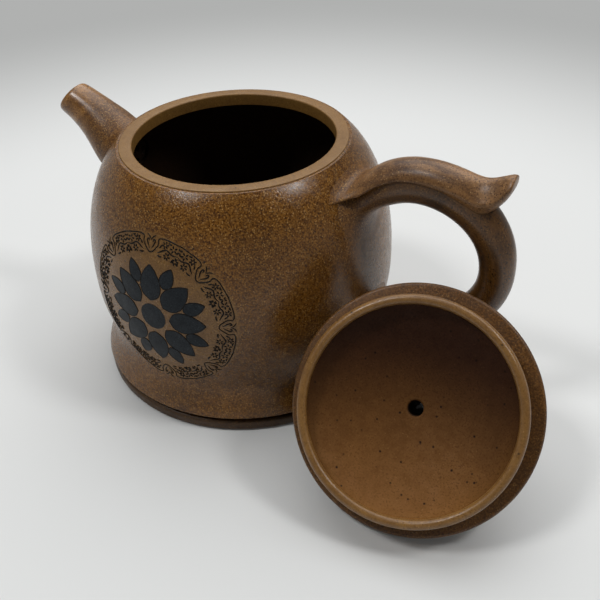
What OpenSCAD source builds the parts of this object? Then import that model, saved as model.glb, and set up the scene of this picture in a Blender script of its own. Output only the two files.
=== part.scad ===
// Round clay teapot with a lift-off lid that leans beside it on the table.
// Millimetres. The pot's axis is Z, the table is Z = 0, the handle points along +X and the spout along -X.

/* [Body] */
// Widest diameter of the belly
belly_d = 100.7; // [90:0.1:130]
// Height of the belly's widest line
belly_z = 39; // [34:0.5:46]
// Diameter of the drawn-in waist above the skirt
waist_d = 93; // [84:0.5:98]
// Height of the waist
waist_z = 17.5; // [14:0.5:22]
// Diameter of the skirt that flares out below the waist
skirt_d = 101.9; // [94:0.1:120]
// Height of the skirt's lower edge
skirt_z = 6; // [5:0.1:8]
// Thickness of the body wall
wall_t = 3.6; // [2.6:0.1:4.4]

/* [Mouth] */
// Height of the flat rim round the mouth
rim_z = 79.4; // [74:0.1:90]
// Outer diameter of the rim
rim_d = 72; // [68:0.5:78]
// Diameter of the mouth that the lid drops into
mouth_d = 63.8; // [58:0.1:66]
// Height of the collar that the mouth is bored through
collar_h = 3.9; // [3:0.1:6]
// Height of the raised flat band on top of the collar
band_h = 0.7; // [0.4:0.1:1.2]

/* [Base] */
// Diameter of the foot ring
foot_d = 101.4; // [90:0.1:116]
// Height of the foot ring
foot_h = 4; // [3:0.1:4.6]
// Width of the foot ring across its clay
foot_w = 7; // [5:0.1:12]
// Depth of the groove between the foot ring and the skirt
groove_depth = 2.2; // [1:0.1:3]

/* [Spout] */
// Height of the middle of the spout's root on the body
spout_root_z = 62; // [58:0.5:63]
// Width of the flared root
spout_root_w = 22; // [20:0.5:28]
// Height of the flared root
spout_root_h = 24; // [22:0.5:28]
// Distance of the spout's tip from the pot's axis
spout_reach = 66.7; // [64:0.1:80]
// Height of the middle of the spout's tip
spout_tip_z = 81; // [78:0.1:92]
// Upward angle of the spout at its tip
spout_tip_angle = 40; // [25:1:55]
// Outer diameter at the tip
spout_tip_d = 12.4; // [11.5:0.1:15]
// Thickness of the spout's clay
spout_t = 2.1; // [1.6:0.1:2.4]
// Diameter of the hole through the body wall behind the spout
spout_hole_d = 16; // [12:0.5:17]

/* [Strainer] */
// Diameter of each pierced hole
strainer_hole_d = 2.6; // [2:0.1:3]
// Thickness of the strainer's clay
strainer_t = 2; // [1.4:0.1:2.6]
// How far the strainer bulges into the pot
strainer_dome = 2.5; // [1:0.1:4]

/* [Handle] */
// How far the loop's centre line stands out from the belly
handle_reach = 37.5; // [32:0.1:48]
// Height of the crest of the fold along the handle's arm
handle_crest_z = 79.4; // [77:0.1:84]
// Height at which the loop stands out furthest
handle_mid_z = 54; // [50:0.5:58]
// Height of the handle's lower root
handle_foot_z = 28; // [25:0.5:32]
// Width of the loop
loop_w = 10.4; // [8:0.1:12]
// Thickness of the loop, seen from the side
loop_t = 9.8; // [8:0.1:10.5]
// Width of the arm under the leaf
arm_w = 11.6; // [10:0.1:12.4]
// Thickness of the arm under the leaf
arm_t = 11.2; // [9:0.1:12]
// Width of the leaf along the arm
leaf_w = 12; // [11:0.1:14]
// Height of the leaf's dome along the arm
leaf_h = 4; // [3:0.1:5]

/* [Lid] */
// Diameter of the lid's rolled edge
lid_d = 70.8; // [68:0.1:76]
// Thickness of the rolled edge
lid_edge_t = 5.2; // [4:0.1:6]
// Edge rounding of the flat flange that rests on the rim
flange_edge = 0.9; // [0.4:0.1:1.6]
// Height of the lid's dome above the middle of its edge
dome_h = 9.5; // [7:0.1:13]
// How far the hollow under the lid rises above the middle of its edge
dish_rise = 1; // [0:0.1:2]
// Side clearance of the locating ring in the mouth
lid_clear = 0.5; // [0.3:0.05:1]
// Thickness of the locating ring
ring_t = 2.8; // [2:0.1:3.4]
// Height of the locating ring
ring_h = 9.6; // [7:0.1:12]
// Diameter of the steam hole inside the lid
steam_d = 4.4; // [3:0.1:5]

/* [Knob] */
// Diameter of the flattened pearl
knob_d = 26; // [22:0.5:28]
// Height of the pearl from underside to top
knob_h = 16; // [13:0.5:18]
// Height of the pearl's middle above the middle of the lid's edge
knob_z = 24.4; // [22:0.1:28]
// Diameter of the foot that joins the knob to the lid
knob_foot_d = 17; // [14:0.5:20]
// Diameter of the steam hole through the knob
knob_hole_d = 2.4; // [1.6:0.1:3]

/* [Resting lid] */
// Place of the resting lid along the handle's side
lid_x = 78.7; // [74:0.1:110]
// Place of the resting lid in front of the handle
lid_y = -36.4; // [-70:0.1:-36]
// Compass direction that the lid's hollow faces, from +X towards +Y
lid_facing = -81; // [-100:1:-70]

/* [Hidden] */

body_clay = "#6b4a25";
rim_clay = "#8f6b42";
dark_clay = "#4a3018";
spout_clay = "#7a5530";
handle_clay = "#6e4c2c";
lid_clay = "#5b3c20";
lip_clay = "#8a6337";

// Slip film left between a luted piece and what it is set on
lute = 0.1;
// Small edge rounding on the rim, the foot and the ring's lip
soft_edge = 1.2;
// Points round a lofted ring, and rings along a lofted stretch
loft_sides = 24;
root_steps = 6;
path_steps = 10;
// Steps along the turned profiles
profile_steps = 26;
arc_steps = 8;

belly_r = belly_d / 2;
waist_r = waist_d / 2;
skirt_r = skirt_d / 2;
rim_r = rim_d / 2;
mouth_r = mouth_d / 2;
foot_r = foot_d / 2;
collar_z = rim_z - collar_h;

// The shoulder is a superellipse that meets the rim's edge, and the waist eases into the belly
shoulder_p = 2.04;
shoulder_q = 3.8;
waist_ease = 1.1;
rim_ledge = 0.4;
shoulder_edge_r = rim_r + rim_ledge;
crown_h = (rim_z - belly_z) / pow(1 - pow(shoulder_edge_r / belly_r, shoulder_q), 1 / shoulder_p);

function lerp(a, b, t) = a + (b - a) * t;
function ease(t) = t * t * (3 - 2 * t);
function bezier(a, b, c, d, t) =
    a * pow(1 - t, 3) + b * 3 * t * pow(1 - t, 2) + c * 3 * t * t * (1 - t) + d * pow(t, 3);
function bezier_slope(a, b, c, d, t) =
    (b - a) * pow(1 - t, 2) + (c - b) * 2 * t * (1 - t) + (d - c) * t * t;
function unit(v) = v / norm(v);
function arc(centre, r, from, to) =
    [for (i = [0:arc_steps]) let (a = lerp(from, to, i / arc_steps)) centre + r * [cos(a), sin(a)]];
function reversed(list) = [for (i = [len(list) - 1:-1:0]) list[i]];

// Outer radius of the body at height z
function skirt_part(z) = lerp(waist_r, skirt_r, ease((waist_z - z) / (waist_z - skirt_z)));
function waist_part(z) =
    lerp(waist_r, belly_r, 1 - pow(1 - pow((z - waist_z) / (belly_z - waist_z), waist_ease), 3));
function shoulder_part(z) =
    belly_r * pow(1 - pow((z - belly_z) / crown_h, shoulder_p), 1 / shoulder_q);
function body_r(z) = z < waist_z ? skirt_part(z) : z < belly_z ? waist_part(z) : shoulder_part(z);
function body_line(from, to, steps, inset) =
    [for (i = [0:steps]) let (z = lerp(from, to, i / steps)) [body_r(z) - inset, z]];

// Point on the body's skin, a slip film clear of it; side is 1 for the handle and -1 for the spout
function on_body(side, y, z) = [side * sqrt(pow(body_r(z) + lute, 2) - y * y), y, z];

// Closed loft through rings of points; a cyclic loft joins its last ring to its first
module loft(rings, cyclic = false) {
    n = len(rings[0]);
    count = len(rings);
    spans = cyclic ? count : count - 1;
    sides = [for (i = [0:spans - 1], j = [0:n - 1])
        let (k = (i + 1) % count, m = (j + 1) % n)
        each [[i * n + j, k * n + j, k * n + m], [i * n + j, k * n + m, i * n + m]]];
    last = (count - 1) * n;
    caps = cyclic ? [] : [for (j = [0:n - 1])
        let (m = (j + 1) % n)
        each [[count * n, j, m], [count * n + 1, last + m, last + j]]];
    polyhedron(concat([for (ring = rings) each ring], [centroid(rings[0]), centroid(rings[count - 1])]),
               concat(sides, caps), convexity = 6);
}

function centroid(ring) = [for (p = ring) 1] * ring / len(ring);

function angles() = [for (j = [0:loft_sides - 1]) 360 * j / loft_sides];

// Ring on the body's skin; fold is 1 where the loft's outer side points up and -1 where it points down
function root_ring(side, z, half_w, half_h, fold) =
    [for (a = angles()) on_body(side, half_w * cos(a), z + fold * half_h * sin(a))];

// Rings that sweep from a root on the body to the first free ring of a path
root_pull = 0.35;
function root_sweep(root, free, heading, out) =
    [for (i = [1:root_steps - 1]) [for (j = [0:len(root) - 1])
        let (pull = root_pull * norm(free[j] - root[j]))
        bezier(root[j], root[j] + pull * out, free[j] - pull * heading, free[j], i / root_steps)]];

// Ring square to a path in the XZ plane
function path_ring(at, heading, half_w, half_t) =
    [for (a = angles())
        [at.x - heading.y * half_t * sin(a), half_w * cos(a), at.y + heading.x * half_t * sin(a)]];

module body_wall() {
    outer = body_line(skirt_z, collar_z, profile_steps, 0);
    inner = body_line(skirt_z, collar_z, profile_steps, wall_t);
    color(body_clay)
    difference() {
        rotate_extrude(convexity = 6) polygon(concat(outer, reversed(inner)));
        at_spout_hole() cylinder(h = 4 * wall_t, d = spout_hole_d, center = true, $fn = 48);
    }
}

module base_disc() {
    groove_r = skirt_r - groove_depth;
    pad_r = foot_r - foot_w - lute;
    color(dark_clay)
    rotate_extrude() polygon([[0, 0], [pad_r, 0], [pad_r, foot_h], [groove_r, foot_h],
                              [groove_r, skirt_z], [0, skirt_z]]);
}

module foot_ring() {
    inner_r = foot_r - foot_w;
    bead = min(soft_edge, foot_h / 2);
    color(dark_clay)
    rotate_extrude() polygon(concat([[inner_r, 0]], arc([foot_r - bead, bead], bead, -90, 0),
                                    arc([foot_r - bead, foot_h - bead], bead, 0, 90), [[inner_r, foot_h]]));
}

module mouth_rim() {
    shoulder = body_line(collar_z, rim_z - band_h, arc_steps, 0);
    edge = band_h * 0.7;
    color(rim_clay)
    rotate_extrude() polygon(concat([[mouth_r, collar_z]], shoulder, [[rim_r, rim_z - band_h]],
                                    arc([rim_r - edge, rim_z - edge], edge, 0, 90),
                                    arc([mouth_r + edge, rim_z - edge], edge, 90, 180)));
}

// Frame of the hole behind the spout: its Z runs outwards, square to the wall
module at_spout_hole() {
    reach = spout_root_h / 4;
    lean = atan((body_r(spout_root_z - reach) - body_r(spout_root_z + reach)) / (2 * reach));
    middle = body_r(spout_root_z) - wall_t / 2;
    translate([-middle, 0, spout_root_z]) rotate([0, lean - 90, 0]) children();
}

// Spout: centre line, half width along it, and the stretch that is swept from the body
spout_rise = 12.8;
spout_lead = 9.5;
spout_neck_r = 8.6;
spout_free = 0.4;
spout_tip = [-spout_reach, spout_tip_z];
spout_start = [-body_r(spout_root_z), spout_root_z];
spout_up = spout_start + [0, spout_rise];
spout_aim = spout_tip - spout_lead * [-cos(spout_tip_angle), sin(spout_tip_angle)];
function spout_at(t) = bezier(spout_start, spout_up, spout_aim, spout_tip, t);
function spout_heading(t) = unit(bezier_slope(spout_start, spout_up, spout_aim, spout_tip, t));
function spout_r(t) = lerp(spout_neck_r, spout_tip_d / 2, (t - spout_free) / (1 - spout_free));
function spout_ring(t, inset) =
    let (r = spout_r(t) - inset, heading = spout_heading(t)) path_ring(spout_at(t), -heading, r, r);
function spout_skin(inset) =
    let (root = root_ring(-1, spout_root_z, spout_root_w / 2 - inset, spout_root_h / 2 - inset, 1),
         heading = spout_heading(spout_free), free = spout_ring(spout_free, inset))
    concat([root], root_sweep(root, free, [heading.x, 0, heading.y], unit([-1, 0, 0.9])),
           [for (i = [0:path_steps]) spout_ring(lerp(spout_free, 1, i / path_steps), inset)]);

module spout() {
    color(spout_clay) loft(concat(reversed(spout_skin(0)), spout_skin(spout_t)), cyclic = true);
}

module strainer() {
    edge_r = spout_hole_d / 2 - lute;
    sphere_r = (edge_r * edge_r + strainer_dome * strainer_dome) / (2 * strainer_dome);
    sweep = asin(edge_r / sphere_r);
    spacing = edge_r * 0.6;
    color(dark_clay)
    at_spout_hole() translate([0, 0, -strainer_t / 2])
    difference() {
        rotate_extrude() polygon(concat(arc([0, sphere_r - strainer_dome], sphere_r, -90, sweep - 90),
                                        [[edge_r, strainer_t]],
                                        reversed(arc([0, sphere_r - strainer_dome + strainer_t], sphere_r,
                                                     -90, sweep - 90))));
        for (a = [0:60:300]) rotate(a) translate([spacing, 0, 0]) strainer_hole();
        strainer_hole();
    }
}

module strainer_hole() {
    cylinder(h = 4 * (strainer_t + strainer_dome), d = strainer_hole_d, center = true, $fn = 32);
}

// Handle loop: an upper and a lower curve that meet where the loop stands out furthest
arm_root = [1.7, -5.9];
arm_bow = [14, 9];
foot_out = 6.6;
arm_start = [belly_r, handle_crest_z] + arm_root;
arm_pull = arm_start + arm_bow;
loop_out = [belly_r + handle_reach, handle_mid_z];
loop_foot = [belly_r + foot_out, handle_foot_z];
loop_above = 18;
loop_below = 14;
foot_lead = 17;
function upper_at(t) = bezier(arm_start, arm_pull, loop_out + [0, loop_above], loop_out, t);
function upper_heading(t) = unit(bezier_slope(arm_start, arm_pull, loop_out + [0, loop_above], loop_out, t));
function lower_at(t) =
    bezier(loop_out, loop_out - [0, loop_below], loop_foot + [foot_lead, 1], loop_foot, t);
function lower_heading(t) =
    unit(bezier_slope(loop_out, loop_out - [0, loop_below], loop_foot + [foot_lead, 1], loop_foot, t));

// Leaf on the arm, as shares: along the reach, fold against the crest, width, and rise of the dome
leaf_stations = [[-0.117, -1.9, 1.3, 1.05], [0, -1.2, 1.1, 1], [0.15, -0.325, 1.02, 1], [0.31, 0, 1, 1.05],
                 [0.47, -0.175, 1, 1.2], [0.63, -0.475, 1.02, 1.275], [0.79, -0.6, 1.03, 1.175],
                 [0.89, -0.625, 0.98, 1.1], [0.96, -0.5, 0.83, 1.075], [1.005, 0.1, 0.63, 0.875],
                 [1.035, 0.85, 0.35, 0.5], [1.055, 1.275, 0.13, 0.175]];
leaf_drop = 9.2;
leaf_root_half_w = 9.2;
leaf_root_rise = 5.2;
// The leaf's root stays on the body, below the collar
leaf_root_z = min(handle_crest_z - leaf_drop, collar_z - leaf_root_rise - lute);
leaf_steps = 3;
function leaf_x(share) = belly_r + share * handle_reach;
function spline(a, b, c, d, t) =
    0.5 * (2 * b + (c - a) * t + (2 * a - 5 * b + 4 * c - d) * t * t + (3 * b - a - 3 * c + d) * pow(t, 3));
function leaf_station(i) = leaf_stations[max(0, min(leaf_last, i))];
function leaf_between(i, t) =
    spline(leaf_station(i - 1), leaf_station(i), leaf_station(i + 1), leaf_station(i + 2), t);
leaf_last = len(leaf_stations) - 1;
leaf_line = concat([for (i = [0:leaf_last - 1], k = [0:leaf_steps - 1]) leaf_between(i, k / leaf_steps)],
                   [leaf_station(leaf_last)]);

// Height of the fold between the arm and the leaf at a distance x from the pot's axis
fold_line = concat([[body_r(leaf_root_z), leaf_root_z]],
                   [for (s = leaf_line) [leaf_x(s[0]), handle_crest_z + s[1] * leaf_h]]);
function fold_z(x) = lookup(x, fold_line);
function under_fold(p) = [p.x, p.y, min(p.z, fold_z(p.x) - 2 * lute)];

function loop_ring(at, heading, half_w, half_t) =
    [for (p = path_ring(at, heading, half_w, half_t)) under_fold(p)];
function arm_half(t, at_arm, at_loop) = lerp(at_arm, at_loop, ease(min(1, t / 0.8))) / 2;
arm_root_half_h = 6.6;
arm_root_half_w = 8.6;
loop_root_half_h = 7;
loop_root_half_w = 7.6;
// Shares of a root's size at which its seat on the curved body has a ring of points
seat_shares = [0.1, 0.4, 0.75, 1];

module handle_loop() {
    arm_root_z = leaf_root_z - 2 * lute - arm_root_half_h;
    arm_seat = [for (k = seat_shares)
        root_ring(1, arm_root_z, arm_root_half_w * k, arm_root_half_h * k, 1)];
    loop_seat = [for (k = seat_shares)
        root_ring(1, handle_foot_z, loop_root_half_w * k, loop_root_half_h * k, -1)];
    upper = [for (i = [0:path_steps]) let (t = i / path_steps)
        loop_ring(upper_at(t), upper_heading(t), arm_half(t, arm_w, loop_w), arm_half(t, arm_t, loop_t))];
    lower = [for (i = [1:path_steps])
        let (t = i / path_steps) path_ring(lower_at(t), lower_heading(t), loop_w / 2, loop_t / 2)];
    start = arm_seat[len(seat_shares) - 1];
    finish = loop_seat[len(seat_shares) - 1];
    leave = upper_heading(0);
    arrive = lower_heading(1);
    arm_sweep = [for (ring = root_sweep(start, upper[0], [leave.x, 0, leave.y], [1, 0, 0]))
        [for (p = ring) under_fold(p)]];
    foot_sweep = root_sweep(finish, lower[path_steps - 1], [-arrive.x, 0, -arrive.y], [1, 0, 0]);
    color(handle_clay)
    loft(concat(arm_seat, arm_sweep, upper, lower, reversed(foot_sweep), reversed(loop_seat)));
}

// Cross-section of the leaf: flat below, where it lies on the fold, and domed above
function leaf_ring(x, edge_z, half_w, rise) =
    [for (a = angles()) [x, half_w * cos(a), edge_z + rise * max(0, sin(a))]];
function leaf_root_ring(share) =
    [for (a = angles())
        let (rise = lerp(0.4, max(0, sin(a)), share))
        on_body(1, leaf_root_half_w * share * cos(a), leaf_root_z + leaf_root_rise * rise)];

module handle_leaf() {
    free = [for (s = leaf_line)
        leaf_ring(leaf_x(s[0]), handle_crest_z + s[1] * leaf_h, s[2] * leaf_w / 2, s[3] * leaf_h)];
    color(handle_clay) loft(concat([for (k = seat_shares) leaf_root_ring(k)], free));
}

// Lid: turned about its own Z, with the middle of the rolled edge at height 0 and the knob upwards
lid_r = lid_d / 2;
edge_r = lid_edge_t / 2;
edge_centre_r = lid_r - edge_r;
ring_out_r = mouth_r - lid_clear;
ring_in_r = ring_out_r - ring_t;
knob_foot_r = knob_foot_d / 2;
pearl_r = knob_h / 2;
pearl_centre_r = knob_d / 2 - pearl_r;
function dome_z(r) = edge_r + (dome_h - edge_r) * sqrt(1 - pow(r / edge_centre_r, 2));
knob_seat_z = dome_z(knob_foot_r);

// The lid stands on its rolled edge and on the pearl, so its lean follows from their sizes
between = [edge_centre_r - pearl_centre_r, knob_z];
lid_lean = acos((pearl_r - edge_r) / norm(between)) - atan2(between.y, between.x);
lid_height = edge_centre_r * cos(lid_lean) + edge_r;

module place_lid() {
    translate([lid_x, lid_y, lid_height]) rotate([0, 90 + lid_lean, lid_facing + 180]) children();
}

// The hollow under the lid is one bowl, from the steam hole to the ring's lip, and the ring's seat cuts it
ring_low = -edge_r - ring_h;
ring_lip = min(soft_edge, ring_t / 2);
bowl_depth = dish_rise - ring_low - ring_lip;
bowl_r = (ring_in_r * ring_in_r + bowl_depth * bowl_depth) / (2 * bowl_depth);
bowl_seat_r = sqrt(pow(bowl_r, 2) - pow(bowl_r - dish_rise - edge_r, 2));
function bowl_z(r) = dish_rise - bowl_r + sqrt(bowl_r * bowl_r - r * r);
function bowl_line(from, to) =
    [for (i = [0:profile_steps]) let (r = lerp(from, to, i / profile_steps)) [r, bowl_z(r)]];

module lid_disc() {
    flange = arc([lid_r - flange_edge, flange_edge - edge_r], flange_edge, -90, 0);
    dome_end = asin(knob_foot_r / edge_centre_r);
    dome = [for (i = [1:profile_steps])
        let (r = edge_centre_r * sin(lerp(90, dome_end, i / profile_steps))) [r, dome_z(r)]];
    color(lid_clay)
    place_lid()
    rotate_extrude(convexity = 6)
    polygon(concat(bowl_line(steam_d / 2, bowl_seat_r), flange, arc([edge_centre_r, 0], edge_r, 0, 90), dome,
                   [[steam_d / 2, knob_seat_z]]));
}

module lid_ring() {
    color(lip_clay)
    place_lid()
    rotate_extrude()
    polygon(concat(bowl_line(bowl_seat_r, ring_in_r),
                   arc([ring_in_r + ring_lip, ring_low + ring_lip], ring_lip, 180, 270),
                   arc([ring_out_r - ring_lip, ring_low + ring_lip], ring_lip, 270, 360),
                   [[ring_out_r, -edge_r]]));
}

module lid_knob() {
    bottom = [pearl_centre_r, knob_z - pearl_r];
    neck_h = bottom.y - knob_seat_z;
    foot = [knob_foot_r, knob_seat_z];
    neck = [for (i = [0:arc_steps])
        bezier(foot, foot + [-0.5, neck_h * 0.2], bottom + [0.3, -neck_h * 0.6], bottom, i / arc_steps)];
    hole_r = knob_hole_d / 2;
    color(lid_clay)
    place_lid()
    rotate_extrude(convexity = 6)
    polygon(concat([[hole_r, knob_seat_z]], neck, arc([pearl_centre_r, knob_z], pearl_r, -80, 90),
                   [[hole_r, knob_z + pearl_r]]));
}

body_wall();
base_disc();
foot_ring();
mouth_rim();
spout();
strainer();
handle_loop();
handle_leaf();
lid_disc();
lid_ring();
lid_knob();
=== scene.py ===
# %% [markdown]
# # A round clay teapot with its lid off
# The real pot is unglazed stoneware: turned or beaten from sandy clay, put together with slip, smoothed with
# a horn blade and fired once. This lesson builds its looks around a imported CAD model, which is the fixed
# frame. Every length is written in millimetres and turned to metres by one value.

# %% Load the frame
from contextlib import contextmanager
from math import acos, asin, atan, atan2, cos, hypot, pi, radians, sin, sqrt

import bmesh
import bpy
from mathutils import Matrix, Vector


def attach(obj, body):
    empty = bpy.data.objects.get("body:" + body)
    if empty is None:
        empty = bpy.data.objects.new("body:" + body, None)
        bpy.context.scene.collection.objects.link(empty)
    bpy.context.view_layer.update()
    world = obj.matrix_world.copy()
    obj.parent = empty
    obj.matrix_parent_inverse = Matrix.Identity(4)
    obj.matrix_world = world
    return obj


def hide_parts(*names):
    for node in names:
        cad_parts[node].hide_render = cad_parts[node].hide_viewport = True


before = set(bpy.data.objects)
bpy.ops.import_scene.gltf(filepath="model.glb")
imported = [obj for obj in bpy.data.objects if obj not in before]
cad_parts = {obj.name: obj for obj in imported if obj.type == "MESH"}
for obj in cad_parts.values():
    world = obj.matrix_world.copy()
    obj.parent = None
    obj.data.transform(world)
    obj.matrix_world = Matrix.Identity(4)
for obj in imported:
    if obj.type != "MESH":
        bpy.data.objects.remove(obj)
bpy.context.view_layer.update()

MM = 0.001

# %% [markdown]
# ## The camera
# The camera was held a little right of the pot and above it. Its place and turn were found by fitting the
# ellipses of the mouth, foot and lid, with the field of view of a 48 mm lens on a 36 mm sensor. It leans two
# degrees, as a hand-held one does, so a roll is added after it is aimed.

# %% Camera
CAMERA_PLACE = Vector((133.09, -190.08, 188.36)) * MM
CAMERA_AIM = Vector((33.87, -21.29, 40.4)) * MM
CAMERA_ROLL = radians(-2.37)
CAMERA_LENS, CAMERA_SENSOR, CAMERA_NEAR = 48.0, 36.0, 10 * MM


def clear_selection():
    """Deselects everything, so that the next operator acts on the new object alone."""
    bpy.ops.object.select_all(action="DESELECT")


clear_selection()
aim = (CAMERA_AIM - CAMERA_PLACE).to_track_quat("-Z", "Y").to_matrix().to_4x4()
turn_of_camera = (aim @ Matrix.Rotation(CAMERA_ROLL, 4, "Z")).to_euler()
bpy.ops.object.camera_add(location=CAMERA_PLACE, rotation=turn_of_camera)
camera = bpy.context.object
camera.name = "photo_camera"
camera.data.lens = CAMERA_LENS
camera.data.sensor_width = CAMERA_SENSOR
camera.data.clip_start = CAMERA_NEAR
bpy.context.scene.camera = camera
bpy.context.scene.view_settings.view_transform = "Standard"
print("camera stands", round((CAMERA_PLACE - CAMERA_AIM).length / MM), "mm from what it looks at")

# %% [markdown]
# ## A way to write materials
# A material is a small graph of nodes. One function adds a node, sets what is fixed on it and links what is
# not. Colours are written as sRGB hex values, as a paint chart gives them, and turned to the linear values
# that a renderer works in.

# %% Node and colour helpers


def linear(hex_colour):
    """An sRGB hex value as linear red, green, blue and alpha."""
    parts = [int(hex_colour[i : i + 2], 16) / 255 for i in (1, 3, 5)]
    bent = [c / 12.92 if c <= 0.04045 else ((c + 0.055) / 1.055) ** 2.4 for c in parts]
    return (*bent, 1.0)


def add(tree, kind, inputs=None, **settings):
    """Adds one node with its settings and gives its outputs. An input is a link or a fixed value."""
    made = tree.nodes.new(kind)
    for name, value in settings.items():
        setattr(made, name, value)
    for name, value in (inputs or {}).items():
        if isinstance(value, bpy.types.NodeSocket):
            tree.links.new(value, made.inputs[name])
        else:
            made.inputs[name].default_value = value
    return made.outputs


def new_material(name):
    """An empty material with its tree and the node that its shader goes to."""
    material = bpy.data.materials.new(name)
    material.use_nodes = True
    material.node_tree.nodes.clear()
    return material, material.node_tree, material.node_tree.nodes.new("ShaderNodeOutputMaterial")


print("white as linear:", linear("#ffffff"))

# %% [markdown]
# ## Paper floor
# The pot stands on pale paper. Less light reaches the paper far from the pot, so a painted shade greys it
# with the distance from the middle. Light that bounces about a bright room fills its shadows, so to the eye
# the paper
# partly glows: a little near the pot, where the shadow must stay, and wholly far off, where it meets a
# backdrop of the same grey.

# %% Floor
FLOOR_SIZE = 6.0
NEAR_PAPER, FAR_PAPER = "#dedfde", "#b0b1b0"
PAPER_NEAR, PAPER_FAR = 160 * MM, 400 * MM
GLOW_NEAR, GLOW_FAR = 0.04, 1.0


def seen_directly(tree):
    """One for rays straight from the camera or by a mirror or glass, and zero for light that bounces."""
    path = add(tree, "ShaderNodeLightPath")
    mirrored = add(tree, "ShaderNodeMath", {0: path["Is Camera Ray"], 1: path["Is Glossy Ray"]},
                   operation="MAXIMUM")[0]
    return add(tree, "ShaderNodeMath", {0: mirrored, 1: path["Is Transmission Ray"]}, operation="MAXIMUM")[0]


clear_selection()
bpy.ops.mesh.primitive_plane_add(size=FLOOR_SIZE, location=(0, 0, 0))
floor = bpy.context.object
floor.name = "paper_floor"
# Matt paper that greys with distance by painted shade and glows a little, as in a bright room
paper, tree, out = new_material("pale_paper")
place = add(tree, "ShaderNodeTexCoord")["Object"]
distance = add(tree, "ShaderNodeVectorMath", {0: place}, operation="LENGTH")["Value"]
share = add(tree, "ShaderNodeMapRange", {"Value": distance, "From Min": PAPER_NEAR, "From Max": PAPER_FAR},
            interpolation_type="SMOOTHSTEP")[0]
tone = add(tree, "ShaderNodeMix", {0: share, 6: linear(NEAR_PAPER), 7: linear(FAR_PAPER)},
           data_type="RGBA")[2]
matt = add(tree, "ShaderNodeBsdfDiffuse", {"Color": tone})[0]
glow = add(tree, "ShaderNodeEmission", {"Color": tone})[0]
amount = add(tree, "ShaderNodeMapRange", {"Value": share, "To Min": GLOW_NEAR, "To Max": GLOW_FAR})[0]
glowing = add(tree, "ShaderNodeMath", {0: amount, 1: seen_directly(tree)}, operation="MULTIPLY")[0]
both = add(tree, "ShaderNodeMixShader", {0: glowing, 1: matt, 2: glow})
tree.links.new(both[0], out.inputs["Surface"])
floor.data.materials.append(paper)
print("floor:", FLOOR_SIZE, "m of", paper.name)

# %% [markdown]
# ## Light
# Soft shadows on all sides tell that most light comes from one big panel overhead, as in a light tent. Two
# small panels hang beside it, and their mirror images are the pale patches on the shoulder. The rest is weak
# even light from all round, with the grey backdrop low down.

# %% Panels and sky
PANELS = {
    # way to the panel, its size in metres, its power in watts
    "panel_top": ((-0.15, 0.44, 0.88), 1.3, 12.1),
    "panel_front_left": ((-0.32, -0.42, 0.85), 0.20, 3.6),
    "panel_right": ((0.58, 0.13, 0.80), 0.20, 2.9),
}
PANEL_DISTANCE = 1.1
POT_MIDDLE = Vector((10, -10, 50)) * MM
EVEN_LIGHT = "#4c4e4f"
BACKDROP_LOW, BACKDROP_HIGH = 0.1, 0.5
for name, (towards, size, power) in PANELS.items():
    away = Vector(towards).normalized()
    bpy.ops.object.light_add(type="AREA", location=POT_MIDDLE + away * PANEL_DISTANCE,
                             rotation=away.to_track_quat("Z", "Y").to_euler())
    panel = bpy.context.object
    panel.name = name
    panel.data.size = size
    panel.data.energy = power

sky = bpy.data.worlds.new("even_light")
bpy.context.scene.world = sky
sky.use_nodes = True
tree = sky.node_tree
way = add(tree, "ShaderNodeTexCoord")["Generated"]
up = add(tree, "ShaderNodeSeparateXYZ", {0: way})[2]
low = add(tree, "ShaderNodeMapRange",
          {"Value": up, "From Min": BACKDROP_LOW, "From Max": BACKDROP_HIGH, "To Min": 1.0, "To Max": 0.0})[0]
backdrop = add(tree, "ShaderNodeMath", {0: low, 1: seen_directly(tree)}, operation="MULTIPLY")[0]
light = add(tree, "ShaderNodeMix", {0: backdrop, 6: linear(EVEN_LIGHT), 7: linear(FAR_PAPER)},
            data_type="RGBA")[2]
tree.links.new(light, tree.nodes["Background"].inputs["Color"])
print("panels:", len(PANELS))

# %% [markdown]
# ## Sandy stoneware
# The clay is full of sand. Fired and rubbed, it is satin and brown. Fine sand with dark gaps between its
# grains makes it look woven, coarser grains half a millimetre across stand out pale, and a few pits are left
# where a grain fell out, painted dark as the shade inside them. Bigger clouds of tone come from the kiln.
# Noise gives the fine sand, and a Voronoi texture grains and pits, because each of its cells can differ.
# Patterns read
# Object coordinates, so they sit still in the clay. Map Range keeps the part of a pattern's range that shows.

# %% Clay recipe
GRIT_MM, GRAIN_MM, MOTTLE_MM, PIT_MM = 0.5, 0.5, 2.6, 1.9
PIT_SHADE, GLOSS_SPREAD = "#1d0f06", 0.07


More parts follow.
